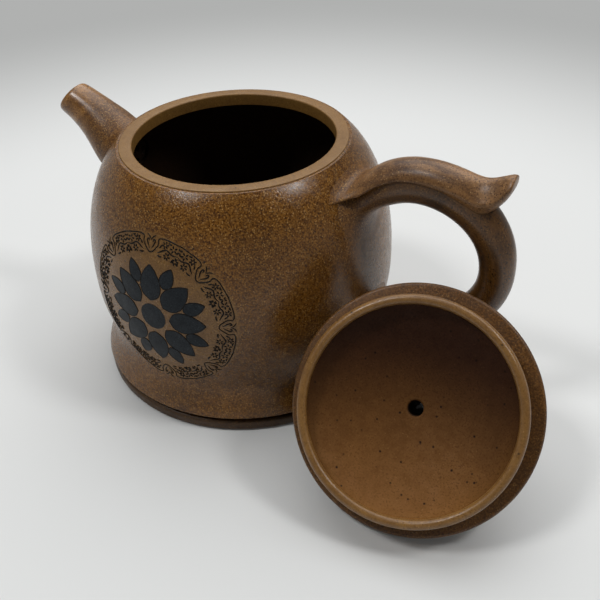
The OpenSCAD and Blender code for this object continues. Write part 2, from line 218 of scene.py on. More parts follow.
def clay(tree, place, ground, deep, sand, grain, sandy=0.6, grains=0.42, cloud_mm=30, rough=0.25, pits=0.03,
         soft=0.2, streaks=None):
    """Colour, roughness and height of one clay. Ground and deep are its tones, sand and grain its grit."""
    # Clouds of tone, big ones from the kiln and small ones from rubbing
    cloud = add(tree, "ShaderNodeTexNoise", {"Vector": place, "Scale": 1 / (cloud_mm * MM), "Detail": 3.0})[0]
    cloudy = add(tree, "ShaderNodeMapRange", {"Value": cloud, "From Min": 0.36, "From Max": 0.64})[0]
    rubbed = streaks(tree, place) if streaks else place
    mottle = add(tree, "ShaderNodeTexNoise",
                 {"Vector": rubbed, "Scale": 1 / (MOTTLE_MM * MM), "Detail": 4.0})[0]
    mottled = add(tree, "ShaderNodeMapRange",
                  {"Value": mottle, "From Min": 0.5 - soft, "From Max": 0.5 + soft})[0]
    tone = add(tree, "ShaderNodeMath", {0: cloudy, 1: mottled}, operation="ADD")[0]
    half = add(tree, "ShaderNodeMath", {0: tone, 1: 0.5}, operation="MULTIPLY")[0]
    # Fine sand, dark in its gaps and pale on its grains
    grit = add(tree, "ShaderNodeTexNoise", {"Vector": place, "Scale": 1 / (GRIT_MM * MM), "Detail": 2.0})[0]
    gaps = add(tree, "ShaderNodeMapRange",
               {"Value": grit, "From Min": 0.34, "From Max": 0.5, "To Min": 1.0, "To Max": 0.0})[0]
    dark = add(tree, "ShaderNodeMath", {0: half, 1: gaps}, operation="MAXIMUM")[0]
    body = add(tree, "ShaderNodeMix", {0: dark, 6: linear(ground), 7: linear(deep)}, data_type="RGBA")[2]
    gritty = add(tree, "ShaderNodeMapRange",
                 {"Value": grit, "From Min": 0.46, "From Max": 0.7, "To Max": sandy})[0]
    sanded = add(tree, "ShaderNodeMix", {0: gritty, 6: body, 7: linear(sand)}, data_type="RGBA")[2]
    # Coarser pale grains, each in the middle of a chosen cell
    cells = add(tree, "ShaderNodeTexVoronoi", {"Vector": place, "Scale": 1 / (GRAIN_MM * MM)})
    lot = add(tree, "ShaderNodeSeparateColor", {0: cells["Color"]})[0]
    chosen = add(tree, "ShaderNodeMapRange",
                 {"Value": lot, "From Min": 1 - grains, "From Max": 1.0, "To Max": 0.7})[0]
    core = add(tree, "ShaderNodeMapRange", {"Value": cells["Distance"], "From Min": 0.15, "From Max": 0.5,
                                            "To Min": 1.0, "To Max": 0.0})[0]
    grainy = add(tree, "ShaderNodeMath", {0: chosen, 1: core}, operation="MULTIPLY")[0]
    grained = add(tree, "ShaderNodeMix", {0: grainy, 6: sanded, 7: linear(grain)}, data_type="RGBA")[2]
    # Pits, each in the middle of one of a few bigger cells, darkened as painted shade
    holes = add(tree, "ShaderNodeTexVoronoi", {"Vector": place, "Scale": 1 / (PIT_MM * MM)})
    hole_lot = add(tree, "ShaderNodeSeparateColor", {0: holes["Color"]})[1]
    hole_chosen = add(tree, "ShaderNodeMath", {0: hole_lot, 1: pits}, operation="LESS_THAN")[0]
    hole_core = add(tree, "ShaderNodeMapRange",
                    {"Value": holes["Distance"], "From Min": 0.1, "From Max": 0.24, "To Min": 1.0,
                     "To Max": 0.0})[0]
    pitted = add(tree, "ShaderNodeMath", {0: hole_chosen, 1: hole_core}, operation="MULTIPLY")[0]
    colour = add(tree, "ShaderNodeMix", {0: pitted, 6: grained, 7: linear(PIT_SHADE)}, data_type="RGBA")[2]
    # Shine varies with the rubbing, grains stand up and pits go in
    gloss = add(tree, "ShaderNodeMapRange",
                {"Value": mottle, "From Min": 0.3, "From Max": 0.7,
                 "To Min": rough - GLOSS_SPREAD, "To Max": rough + GLOSS_SPREAD})[0]
    raised = add(tree, "ShaderNodeMath", {0: grainy, 1: gritty}, operation="ADD")[0]
    height = add(tree, "ShaderNodeMath", {0: raised, 1: pitted}, operation="SUBTRACT")[0]
    return colour, gloss, height


print("grit and grains in mm:", GRIT_MM, GRAIN_MM)

# %% [markdown]
# ## One recipe for every clay
# The same recipe makes every part of the pot with its own colours. Where one clay runs into another, at the
# edge of the picture, where a root was smoothed into the body, or where painted shade darkens the top of the
# lid's hollow, two are mixed by the distance from an axis. Spout and handle were burnished along their
# length, so there the tone is pulled into streaks.

# %% Clay material
SATIN, DULL, BURNISHED = 0.36, 0.12, 0.5
PULL = 0.12
SPOUT_RISE = radians(40)
GAP_MIDDLE = Vector((60, 0, 50)) * MM


def stoneware(name, recipe, middle=None, axis=((1, 1, 0), (0, 0, 0)), radii_mm=(0, 0), relief_mm=0.03,
              satin=SATIN):
    """A clay material. Nearer to an axis than the two radii, it runs into the clay of the middle. The axis is
    given by the directions across it and a point on it."""
    material, tree, out = new_material(name)
    place = add(tree, "ShaderNodeTexCoord")["Object"]
    colour, gloss, height = clay(tree, place, **recipe)
    if middle:
        colour_in, gloss_in, height_in = clay(tree, place, **middle)
        moved = add(tree, "ShaderNodeVectorMath", {0: place, 1: Vector(axis[1]) * MM}, operation="SUBTRACT")
        flat = add(tree, "ShaderNodeVectorMath", {0: moved[0], 1: axis[0]}, operation="MULTIPLY")
        radius = add(tree, "ShaderNodeVectorMath", {0: flat[0]}, operation="LENGTH")["Value"]
        near, far = radii_mm
        share = add(tree, "ShaderNodeMapRange",
                    {"Value": radius, "From Min": near * MM, "From Max": far * MM},
                    interpolation_type="SMOOTHSTEP")[0]
        colour = add(tree, "ShaderNodeMix", {0: share, 6: colour_in, 7: colour}, data_type="RGBA")[2]
        gloss = add(tree, "ShaderNodeMix", {0: share, 2: gloss_in, 3: gloss})[0]
        height = add(tree, "ShaderNodeMix", {0: share, 2: height_in, 3: height})[0]
    bump = add(tree, "ShaderNodeBump", {"Height": height, "Distance": relief_mm * MM, "Strength": 1.0})
    shader = add(tree, "ShaderNodeBsdfPrincipled",
                 {"Base Color": colour, "Roughness": gloss, "Normal": bump[0], "IOR": 1.5,
                  "Specular IOR Level": satin})
    tree.links.new(shader[0], out.inputs["Surface"])
    return material


def along_spout(tree, place):
    """Coordinates pulled long along the spout, the way that it was burnished."""
    turned = add(tree, "ShaderNodeMapping", {"Vector": place, "Rotation": (0, SPOUT_RISE, 0)})[0]
    return add(tree, "ShaderNodeMapping", {"Vector": turned, "Scale": (PULL, 0.7, 0.7)})[0]


def round_loop(tree, place):
    """Coordinates that run round the handle: distance from the middle of its gap, and width."""
    moved = add(tree, "ShaderNodeMapping", {"Vector": place, "Location": -GAP_MIDDLE})
    x, y, z = add(tree, "ShaderNodeSeparateXYZ", {0: moved[0]})
    flat = add(tree, "ShaderNodeCombineXYZ", {0: x, 2: z})[0]
    out_from = add(tree, "ShaderNodeVectorMath", {0: flat}, operation="LENGTH")["Value"]
    slow = add(tree, "ShaderNodeMath", {0: x, 1: PULL}, operation="MULTIPLY")[0]
    return add(tree, "ShaderNodeCombineXYZ", {0: out_from, 1: y, 2: slow})[0]


print("shine of satin, dull and burnished clay:", SATIN, DULL, BURNISHED)

# %% [markdown]
# ## The clays of this pot
# The potter used one clay and treated it in many ways: rubbed, wiped, burnished, left raw, or painted with
# dark slip. Each treatment has its own tones and shine. The dark tones inside the pot and its holes and at
# the top of the lid's hollow are painted shade, and the paler spout and leaf carry painted light.

# %% Clays


def tones(four, **treatment):
    """A recipe from four tones: ground, deep, sand and grain."""
    return dict(zip(("ground", "deep", "sand", "grain"), four.split()), **treatment)


# Sandy body: satin brown, dense with tan grains
BODY = tones("#734917 #3c2109 #9f7032 #c49c60")
# The same clay at the roots, smoothed with a wet finger and not rubbed: duller
ROOT = dict(BODY, rough=0.45)
# Ground of the round picture on the belly, rubbed smoother: paler, with finer sand
FIELD = tones("#85602f #61411c #96713c #ab8553", sandy=0.4, grains=0.2, rough=0.3)
# Slips of the picture: black for its lines and slate for its flower
LINES = tones("#1d1712 #120e0a #2c231a #3a2f22", sandy=0.3, grains=0.1, rough=0.4)
SLATE = tones("#262b30 #181c20 #31373c #43484b", sandy=0.4, grains=0.15, cloud_mm=8, rough=0.42)
# Flat band of the mouth, wiped with a wet leather: paler and smoother
RIM = tones("#866230 #6f4e23 #926c34 #a9834c", sandy=0.35, grains=0.15, rough=0.42)
# Inside and in the holes, never rubbed: dull, with dark tones as painted shade of the hollows
INNER_SHADE = tones("#33200f #22140a #46301b #523a24", sandy=0.3, grains=0.1, rough=0.55)
# Foot and base: a duller, darker brown
FOOT = tones("#4a3014 #33200b #6a4a24 #86663a", sandy=0.4, grains=0.2, rough=0.42)
# Spout and handle, burnished along their length: glossier and streaked
# The spout's paler ground partly stands in for the highlights along its top: painted highlight
SPOUT = tones("#ab7c49 #4d2c10 #9f7239 #c09760", sandy=0.4, grains=0.2, cloud_mm=9, pits=0.02, soft=0.1,
              streaks=along_spout)
HANDLE = tones("#6a461f #261405 #7a5322 #9a7440", sandy=0.35, grains=0.3, cloud_mm=12, rough=0.3, pits=0.02,
               soft=0.11, streaks=round_loop)
# The leaf's paler ground stands in for the light on its upward faces: painted light
LEAF = tones("#956c43 #432812 #966e3f #b99464", sandy=0.4, grains=0.35, cloud_mm=10, rough=0.36, pits=0.02,
             soft=0.1, streaks=round_loop)
# Lid outside, its dull hollow with small pits, and its burnished lip
LID = tones("#5f3d19 #40270d #855d2d #9d7745", sandy=0.5, grains=0.25, cloud_mm=22, rough=0.4)
DISH = tones("#80572a #68431b #875e30 #8f683b", sandy=0.3, grains=0.08, cloud_mm=26, rough=0.6, pits=0.2)
LIP = tones("#8a6536 #6b481f #94703f #a98454", sandy=0.3, grains=0.15, cloud_mm=14, rough=0.34, pits=0.04)
# Painted shade: the upper half of the hollow, which faces down under the ring, is given darker tones
DISH_SHADE = dict(DISH, **tones("#3b2110 #2c160a #452916 #4f321d"))
DISH_SHADE_AXIS, DISH_SHADE_MM = ((0, 0, 1), (0, 0, 52)), (6, 45)
PICTURE_Z, PICTURE_MM = 42.5, (25.6, 26.6)
PICTURE_AXIS = ((1, 0, 1), (0, 0, PICTURE_Z))

body_clay = stoneware("sandy_stoneware", BODY)
belly_clay = stoneware("sandy_stoneware_with_field", BODY, FIELD, PICTURE_AXIS, PICTURE_MM)
rim_clay = stoneware("wiped_stoneware", RIM)
inner_shade_clay = stoneware("inside_shade_stoneware", INNER_SHADE)
foot_clay = stoneware("foot_stoneware", FOOT)
spout_clay = stoneware("burnished_spout", SPOUT, ROOT, radii_mm=(50, 60), relief_mm=0.02, satin=BURNISHED)
handle_clay = stoneware("burnished_handle", HANDLE, ROOT, radii_mm=(49, 61), relief_mm=0.02, satin=BURNISHED)
leaf_clay = stoneware("burnished_leaf", LEAF, ROOT, radii_mm=(43, 50), relief_mm=0.02)
lid_clay = stoneware("lid_stoneware", LID)
# The hollow's clay turns to darker tones towards its top: painted shade
dish_clay = stoneware("lid_dish_stoneware_with_painted_shade", DISH, DISH_SHADE, DISH_SHADE_AXIS, DISH_SHADE_MM, relief_mm=0.015, satin=DULL)
lip_clay = stoneware("burnished_lip", LIP, relief_mm=0.015, satin=BURNISHED)
line_slip = stoneware("black_slip_stoneware", LINES, relief_mm=0.01, satin=DULL)
slate_slip = stoneware("slate_slip_stoneware", SLATE, relief_mm=0.01, satin=DULL)
print("materials with the clays:", len(bpy.data.materials))

# %% [markdown]
# ## Working on one piece
# By hand one clicks a piece, goes into edit mode, works and comes out, and applies a modifier when it is
# right. These helpers do the clicking. A finished piece is told which body it moves with, which finish it has
# and which CAD nodes it stands for.

# %% Piece helpers


def pick(piece, *others):
    """Selects these pieces alone and makes the first one active."""
    clear_selection()
    for each in (piece, *others):
        each.select_set(True)
    bpy.context.view_layer.objects.active = piece


@contextmanager
def editing(piece):
    """Edit mode on one piece, all of it selected, while the with block lasts."""
    pick(piece)
    bpy.ops.object.mode_set(mode="EDIT")
    bpy.ops.mesh.select_all(action="SELECT")
    yield
    bpy.ops.object.mode_set(mode="OBJECT")


def modify(piece, kind, **settings):
    """Gives a piece a modifier with its settings and applies it."""
    pick(piece)
    modifier = piece.modifiers.new(kind.lower(), kind)
    for name, value in settings.items():
        setattr(modifier, name, value)
    bpy.ops.object.modifier_apply(modifier=modifier.name)


def name_piece(name):
    """Names the object just made and its mesh, and puts its place in its mesh."""
    piece = bpy.context.object
    piece.name = name
    piece.data.name = name
    bpy.ops.object.transform_apply()
    return piece


def paint(piece, slot_number, test):
    """Puts the faces whose middle passes the test into a material slot."""
    for face in piece.data.polygons:
        if test(face.center / MM, face.normal):
            face.material_index = slot_number


def dress(piece, body, slot, materials, *nodes):
    """Gives a piece its materials, body and the CAD nodes that it stands for. The finish slot is not used."""
    for material in materials:
        piece.data.materials.append(material)
    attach(piece, body)
    if nodes:
        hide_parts(*nodes)
    print(piece.name, "stands for", ", ".join(nodes) or "no node", "with", len(piece.data.polygons), "faces")


print("CAD nodes to dress:", len(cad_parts))

# %% [markdown]
# ## Turning a shape
# The body, rim, foot and lid are round, so each is an outline turned about an axis. As by hand, a point is
# extruded along the outline and turned with Spin. Then the seam is merged and the faces are made to point
# outwards. A hundred and sixty steps keep the edge of a 100 mm pot round to a hundredth of a millimetre.

# %% Turning helpers
TURN_STEPS = 160
SMOOTH_ANGLE = radians(40)
WELD = 1e-6


def move(x, y, z):
    """Moves what is selected in edit mode."""
    bpy.ops.transform.translate(value=(x, y, z))


def turn(name, outline, steps=TURN_STEPS):
    """Turns an outline of (radius, height) points about Z. For a closed piece it is closed, or starts and
    ends on the axis."""
    clear_selection()
    bpy.ops.mesh.primitive_plane_add(size=MM, location=(0, 0, 0))
    piece = name_piece(name)
    with editing(piece):
        bpy.ops.mesh.merge(type="CENTER")
        move(outline[0][0] * MM, 0, outline[0][1] * MM)
        for here, there in zip(outline, outline[1:]):
            step = ((there[0] - here[0]) * MM, 0, (there[1] - here[1]) * MM)
            bpy.ops.mesh.extrude_region_move(TRANSFORM_OT_translate={"value": step})
        bpy.ops.mesh.select_all(action="SELECT")
        bpy.ops.mesh.spin(steps=steps, angle=2 * pi, center=(0, 0, 0), axis=(0, 0, 1))
        bpy.ops.mesh.select_all(action="SELECT")
        bpy.ops.mesh.remove_doubles(threshold=WELD)
        bpy.ops.mesh.normals_make_consistent()
    bpy.ops.object.shade_smooth_by_angle(angle=SMOOTH_ANGLE)
    return piece


def arc(centre, radius, start, end, steps=8):
    """Points along an arc, with angles in degrees."""
    angles = [radians(start + (end - start) * i / steps) for i in range(steps + 1)]
    return [(centre[0] + radius * cos(a), centre[1] + radius * sin(a)) for a in angles]


def from_axis(at):
    """Distance of a point from the turning axis."""
    return hypot(at.x, at.y)


print("a turned piece has", TURN_STEPS, "steps")

# %% [markdown]
# ## The body
# The body flares to a skirt at the foot, draws in to a waist, swells to the belly and closes to the mouth in
# a full shoulder. The outline follows the CAD model's three curves: a smooth step, an ease and a
# superellipse. A thumb has run round the waist, so there they are evened out over a few millimetres. The
# inside runs parallel. The hole behind the spout is cut with a Boolean, as the potter cuts it before the
# spout goes on.

# %% Body outline and piece
BELLY_R, BELLY_Z = 50.35, 39.0
WAIST_R, WAIST_Z, WAIST_SOFT, WAIST_EASE = 46.5, 17.5, 4.5, 1.1
SKIRT_R, SKIRT_Z, SKIRT_EDGE, SKIRT_TOP = 50.93, 5.2, 0.8, 0.9
WALL = 3.6
RIM_R, RIM_Z, RIM_STEP, MOUTH_R = 36.0, 79.4, 0.4, 31.9
COLLAR_Z = 75.5
SHOULDER_P, SHOULDER_Q = 2.04, 3.8
CROWN_H = (RIM_Z - BELLY_Z) / (1 - ((RIM_R + RIM_STEP) / BELLY_R) ** SHOULDER_Q) ** (1 / SHOULDER_P)


def sharp_radius(z):
    """Outer radius of the body at a height, with a sharp turn at the waist."""
    if z < WAIST_Z:
        t = (WAIST_Z - z) / (WAIST_Z - SKIRT_Z)
        return WAIST_R + (SKIRT_R - WAIST_R) * t * t * (3 - 2 * t)
    if z < BELLY_Z:
        t = (z - WAIST_Z) / (BELLY_Z - WAIST_Z)
        return WAIST_R + (BELLY_R - WAIST_R) * (1 - (1 - t**WAIST_EASE) ** 3)
    return BELLY_R * (1 - ((z - BELLY_Z) / CROWN_H) ** SHOULDER_P) ** (1 / SHOULDER_Q)


def body_radius(z):
    """Outer radius of the body at a height, in millimetres, evened out round the waist."""
    reach = min(WAIST_SOFT, max(0.0, z - SKIRT_Z), max(0.0, (BELLY_Z - z) / 2))
    return sum(sharp_radius(z + reach * step / 3) for step in range(-3, 4)) / 7


def body_line(low, high, steps, inset=0.0):
    """Points of the body's outline from one height to another."""
    heights = [low + (high - low) * i / steps for i in range(steps + 1)]
    return [(body_radius(z) - inset, z) for z in heights]


skirt_edge = arc((SKIRT_R - SKIRT_EDGE, SKIRT_Z + SKIRT_EDGE), SKIRT_EDGE, -90, -8, 5)
outer = skirt_edge + body_line(SKIRT_Z + SKIRT_TOP, COLLAR_Z, 70)
inner = body_line(COLLAR_Z, SKIRT_Z, 40, WALL)
pot_body = turn("pot_body", outer + inner + outer[:1])

HOLE_Z, HOLE_R, LEAN_SPAN = 62.0, 8.0, 6
lean = atan((body_radius(HOLE_Z - LEAN_SPAN) - body_radius(HOLE_Z + LEAN_SPAN)) / (2 * LEAN_SPAN))
clear_selection()
bpy.ops.mesh.primitive_cylinder_add(vertices=64, radius=HOLE_R * MM, depth=4 * WALL * MM,
                                    location=(-(body_radius(HOLE_Z) - WALL / 2) * MM, 0, HOLE_Z * MM),
                                    rotation=(0, lean - pi / 2, 0))
drill = name_piece("hole_drill")
modify(pot_body, "BOOLEAN", object=drill, solver="EXACT")
bpy.data.objects.remove(drill)

PICTURE_PATCH, SKIN_DEPTH, SEAM = 30, 0.3, 0.05
paint(pot_body, 1, lambda at, normal: at.y < -1 and hypot(at.x, at.z - PICTURE_Z) < PICTURE_PATCH)
# The inside takes the dark inner clay: painted shade
paint(pot_body, 2, lambda at, normal: from_axis(at) < body_radius(at.z) - SKIN_DEPTH
      and at.z > SKIRT_Z + SEAM)
dress(pot_body, "pot", "body_clay", [body_clay, belly_clay, inner_shade_clay], "body_wall")

# %% [markdown]
# ## Rim, base and foot
# The mouth has a flat band, wiped paler than the body, with a fine step outside and a straight bore that the
# lid's ring drops into. Below the skirt runs a dark groove, and under it the foot ring that the pot stands
# on. All are turned. The strainer behind the spout is kept as the CAD model has it.

# %% Rim, base and foot pieces
OUTER_EDGE, BORE_EDGE, BAND_H = 0.3, 0.5, 0.35
SLACK = 0.1
rim_outline = ([(MOUTH_R, COLLAR_Z)] + body_line(COLLAR_Z, RIM_Z - BAND_H, 12) + [(RIM_R, RIM_Z - BAND_H)]
               + arc((RIM_R - OUTER_EDGE, RIM_Z - OUTER_EDGE), OUTER_EDGE, 0, 90, 6)
               + arc((MOUTH_R + BORE_EDGE, RIM_Z - BORE_EDGE), BORE_EDGE, 90, 180, 6) + [(MOUTH_R, COLLAR_Z)])
pot_rim = turn("pot_rim", rim_outline)
paint(pot_rim, 1, lambda at, normal: from_axis(at) < MOUTH_R + SLACK
      or (from_axis(at) < RIM_R + SLACK and at.z > RIM_Z - BORE_EDGE))
dress(pot_rim, "pot", "rim_clay", [body_clay, rim_clay], "mouth_rim")

FOOT_R, FOOT_H, FOOT_W, FOOT_BEAD, GROOVE = 50.7, 4.0, 7.0, 1.3, 2.2
FOOT_IN_R, BASE_R, GROOVE_R = FOOT_R - FOOT_W, FOOT_R - FOOT_W - 0.1, SKIRT_R - GROOVE
base_outline = [(0, 0), (BASE_R, 0), (BASE_R, FOOT_H), (GROOVE_R, FOOT_H), (GROOVE_R, SKIRT_Z), (0, SKIRT_Z)]
pot_base = turn("pot_base", base_outline)
# The top of the base is the pot's inside floor, in the dark inner clay: painted shade
paint(pot_base, 1, lambda at, normal: normal.z > 0.9)
dress(pot_base, "pot", "dark_clay", [foot_clay, inner_shade_clay], "base_disc")

foot_outline = ([(FOOT_IN_R, 0)] + arc((FOOT_R - FOOT_BEAD, FOOT_BEAD), FOOT_BEAD, -90, 0)
                + arc((FOOT_R - FOOT_BEAD, FOOT_H - FOOT_BEAD), FOOT_BEAD, 0, 90)
                + [(FOOT_IN_R, FOOT_H), (FOOT_IN_R, 0)])
pot_foot = turn("pot_foot", foot_outline)
dress(pot_foot, "pot", "dark_clay", [foot_clay], "foot_ring")

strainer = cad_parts["strainer"]
# The strainer inside the pot takes the dark inner clay: painted shade
strainer.data.materials.clear()
strainer.data.materials.append(inner_shade_clay)
print("strainer keeps its CAD shape and gets", inner_shade_clay.name)

# %% [markdown]
# ## Roots that grow out of the body
# Spout and handle are stuck on with slip, and the joint is smoothed until the root grows out of the body.
# Here a collar is laid on the body first: two rings, projected onto a turned form of its skin with
# Shrinkwrap. The outer ring sinks just under the skin, so no edge shows.

# %% Form of the skin and collars
RING_POINTS = 32
COLLAR_LIFT, COLLAR_SINK = 0.035, 0.06
CLEAR_OF_BODY = 1.4 * BELLY_R
skin_form = turn("skin_form", body_line(SKIRT_Z, RIM_Z - SEAM, 80))


def choose(piece, test):
    """Selects in edit mode the points that pass the test, and the edges between them."""
    bpy.ops.mesh.select_all(action="DESELECT")
    mesh = bmesh.from_edit_mesh(piece.data)
    mesh.verts.index_update()
    for vert in mesh.verts:
        if test(vert):
            vert.select_set(True)
    mesh.select_flush(True)
    bmesh.update_edit_mesh(piece.data)


def scale(by, about=(0, 0, 0)):
    """Scales what is selected in edit mode about a point."""
    bpy.ops.transform.resize(value=by, center_override=about)


def new_ring(name, points=RING_POINTS):
    """A ring about the X axis with a radius of one metre."""
    clear_selection()
    bpy.ops.mesh.primitive_circle_add(vertices=points, radius=1.0, rotation=(0, pi / 2, 0))
    return name_piece(name)


def lay_collar(name, side, z, inner_half, outer_half, points=RING_POINTS, upper_only=False):
    """Two rings round a root, laid on the skin. The halves are (width, height). Side is 1 for the handle and
    -1 for the spout."""
    piece = new_ring(name, points)
    middle = (side * CLEAR_OF_BODY * MM, 0, z * MM)
    grown = (1, outer_half[0] / inner_half[0], outer_half[1] / inner_half[1])
    with editing(piece):
        if upper_only:
            choose(piece, lambda vert: vert.co.z < -1e-4)
            bpy.ops.mesh.delete(type="VERT")
            bpy.ops.mesh.select_all(action="SELECT")
        scale((1, inner_half[0] * MM, inner_half[1] * MM))
        move(*middle)
        bpy.ops.mesh.extrude_region_move()
        scale(grown, middle)
    kept = len(piece.data.vertices) // 2
    for group, numbers, lift in (("root_ring", range(kept), COLLAR_LIFT),
                                 ("sunk_ring", range(kept, 2 * kept), -COLLAR_SINK)):
        piece.vertex_groups.new(name=group).add(list(numbers), 1.0, "REPLACE")
        modify(piece, "SHRINKWRAP", target=skin_form, wrap_method="PROJECT", use_project_x=True,
               use_positive_direction=side < 0, use_negative_direction=side > 0, vertex_group=group,
               offset=lift * MM)
    return piece


print("skin form for roots and inlay:", len(skin_form.data.polygons), "faces")

# %% [markdown]
# ## Tubes and how they join
# A roll of clay is a ring extruded along its centre line, turned and scaled at every station. Bridge Edge
# Loops joins its end to the collar's inner ring with a curve that leaves the body along its skin. What is
# still open is closed under the skin, with a cap that follows the wall and so doesn't show inside.

# %% Tube and joint helpers
RELAX, FILLET_CUTS = 6, 8
FAN_EDGES = 8


def swing(angle, about=(0, 0, 0)):
    """Turns what is selected in edit mode about an axis along Y."""
    bpy.ops.transform.rotate(value=angle, orient_axis="Y", center_override=about)


def draw_tube(name, stations):
    """Extrudes a ring through stations of (x, z, heading, half width, half thickness)."""
    piece = new_ring(name)
    here, heading, wide, thick = Vector((0, 0, 0)), 0.0, 1 / MM, 1 / MM
    with editing(piece):
        for number, (x, z, new_heading, half_w, half_t) in enumerate(stations):
            if number:
                bpy.ops.mesh.extrude_region_move()
            swing(-heading, here)
            scale((1, half_w / wide, half_t / thick), here)
            swing(new_heading, here)
            there = Vector((x, 0, z)) * MM
            move(*(there - here))
            here, heading, wide, thick = there, new_heading, half_w, half_t
    return piece


def join_root(piece, collar, at_end, relax=RELAX):
    """Joins a collar to the open end of a piece, bridges the two with a fillet and relaxes it."""
    pick(piece, collar)
    bpy.ops.object.join()
    with editing(piece):
        layer = bmesh.from_edit_mesh(piece.data).verts.layers.deform.verify()
        group = piece.vertex_groups["root_ring"].index
        choose(piece, lambda vert: group in vert[layer]
               or (vert.is_boundary and not vert[layer] and at_end(vert.co / MM)))
        bpy.ops.mesh.bridge_edge_loops(number_cuts=FILLET_CUTS, interpolation="SURFACE")
        if relax:
            bpy.ops.mesh.vertices_smooth(factor=0.5, repeat=relax)
    # The ring's group goes, so that a second root isn't joined to the first
    piece.vertex_groups.remove(piece.vertex_groups["root_ring"])


def close_up(piece):
    """Fills what is still open and makes the faces point outwards."""
    with editing(piece):
        bpy.ops.mesh.fill_holes(sides=0)
        bpy.ops.mesh.normals_make_consistent()


def dome_caps(piece, depth):
    """Raises the middle of the faces that close the roots to a depth under the skin."""
    with editing(piece):
        bpy.ops.mesh.select_face_by_sides(number=4, type="GREATER", extend=False)
        bpy.ops.mesh.poke()
        points = bmesh.from_edit_mesh(piece.data).verts
        middles = [vert.co.copy() for vert in points if len(vert.link_edges) > FAN_EDGES]
        for middle in middles:
            choose(piece, lambda vert: (vert.co - middle).length < WELD)
            wanted_x = (body_radius(middle.z / MM) - depth) * MM
            move(wanted_x - middle.x, 0, 0)
    print(piece.name, "has", len(middles), "root caps in the wall")


def refine(piece, levels=2):
    """Subdivides a piece smoothly and applies it."""
    piece.vertex_groups.clear()
    modify(piece, "SUBSURF", levels=levels, render_levels=levels)
    bpy.ops.object.shade_smooth()


print("a tube has", RING_POINTS, "points round it")

# %% [markdown]
# ## The spout
# A short, straight spout leaves the shoulder at a low angle. Its root is wide and oval, it narrows at once,
# and its mouth is cut square with a rounded lip. The tube is bridged to its collar and given the clay's
# thickness with Solidify, so that tea could run through it.

# %% Spout piece
SPOUT_T = 2.1
SPOUT_STATIONS = [
    # x, z, heading above -X in degrees, radius
    (-50.0, 69.4, 46, 9.6),
    (-52.3, 71.7, 43, 8.6),
    (-55.5, 74.3, 39, 7.6),
    (-59.5, 77.0, 35, 6.8),
    (-63.0, 79.1, 34, 6.35),
    (-65.2, 80.1, 36, 6.2),
    (-66.6, 80.85, 38, 5.8),
]
SPOUT_HALFWAY_X = -60
stations = [(x, z, -radians(heading), r, r) for x, z, heading, r in SPOUT_STATIONS]
spout = draw_tube("spout_piece", stations)
spout_collar = lay_collar("spout_collar", -1, 62.3, (11.8, 13.8), (15.8, 15.8))
join_root(spout, spout_collar, lambda at: at.x > SPOUT_HALFWAY_X)
with editing(spout):
    bpy.ops.mesh.normals_make_consistent()
modify(spout, "SOLIDIFY", thickness=SPOUT_T * MM, offset=-1.0)
refine(spout)
dress(spout, "pot", "spout_clay", [spout_clay], "spout")

# %% [markdown]
# ## The handle's loop
# The arm leaves the shoulder just under the rim, rises a little and turns down in an ear-shaped loop that
# comes back to the belly. It is an oval roll of clay, thicker at the arm. A ring is extruded along two Bezier
# curves and bridged to a collar at each end.

# %% Handle loop piece
ARM_START, LOOP_OUT, LOOP_FOOT = Vector((53.5, 74.2)), Vector((87.5, 54.0)), Vector((57.5, 28.0))
UPPER_PATH = (ARM_START, ARM_START + Vector((12.5, 8.6)), LOOP_OUT + Vector((0.9, 19.2)), LOOP_OUT)
LOWER_PATH = (LOOP_OUT, LOOP_OUT - Vector((0, 14)), LOOP_FOOT + Vector((17, 1)), LOOP_FOOT)
ARM_W, ARM_T, LOOP_W, LOOP_T, SWELL = 6.2, 5.6, 5.4, 5.2, 0.8
PATH_STEPS, EASE_STEPS, LOOP_HALFWAY_Z = 10, 8, 48


def bezier(points, t):
    """A point on a cubic Bezier curve and the heading there."""
    a, b, c, d = (Vector(p) for p in points)
    at = a * (1 - t) ** 3 + b * 3 * t * (1 - t) ** 2 + c * 3 * t * t * (1 - t) + d * t**3
    slope = (b - a) * (1 - t) ** 2 + (c - b) * 2 * t * (1 - t) + (d - c) * t * t
    return at, atan2(slope.y, slope.x)


stations = []
for i in range(PATH_STEPS + 1):
    at, heading = bezier(UPPER_PATH, i / PATH_STEPS)
    ease = min(1.0, i / EASE_STEPS)
    ease = ease * ease * (3 - 2 * ease)
    thick = ARM_T + (LOOP_T - ARM_T) * ease + SWELL * sin(pi * i / PATH_STEPS)
    stations.append((at.x, at.y, heading, ARM_W + (LOOP_W - ARM_W) * ease, thick))
for i in range(1, PATH_STEPS + 1):
    at, heading = bezier(LOWER_PATH, i / PATH_STEPS)
    heading = heading if heading < 0 else heading - 2 * pi
    stations.append((at.x, at.y, heading, LOOP_W, LOOP_T))
loop = draw_tube("handle_loop_piece", stations)
arm_collar = lay_collar("arm_collar", 1, 65.3, (12.5, 9.6), (16.5, 12.6))
join_root(loop, arm_collar, lambda at: at.z > LOOP_HALFWAY_Z)
foot_collar = lay_collar("foot_collar", 1, 28.0, (8.2, 7.8), (12.0, 11.0))
join_root(loop, foot_collar, lambda at: at.z < LOOP_HALFWAY_Z)
close_up(loop)
dome_caps(loop, WALL / 3)
refine(loop)
dress(loop, "pot", "handle_clay", [handle_clay], "handle_loop")

# %% [markdown]
# ## The leaf on the arm
# A folded leaf lies along the arm: domed on top, with a rolled edge that stands over the arm as a crease, and
# a pointed tip that turns up where the thumb rests. A grid is domed row by row, and each row is scaled and
# set in its place along the arm. The long edges are extruded down to the crease.

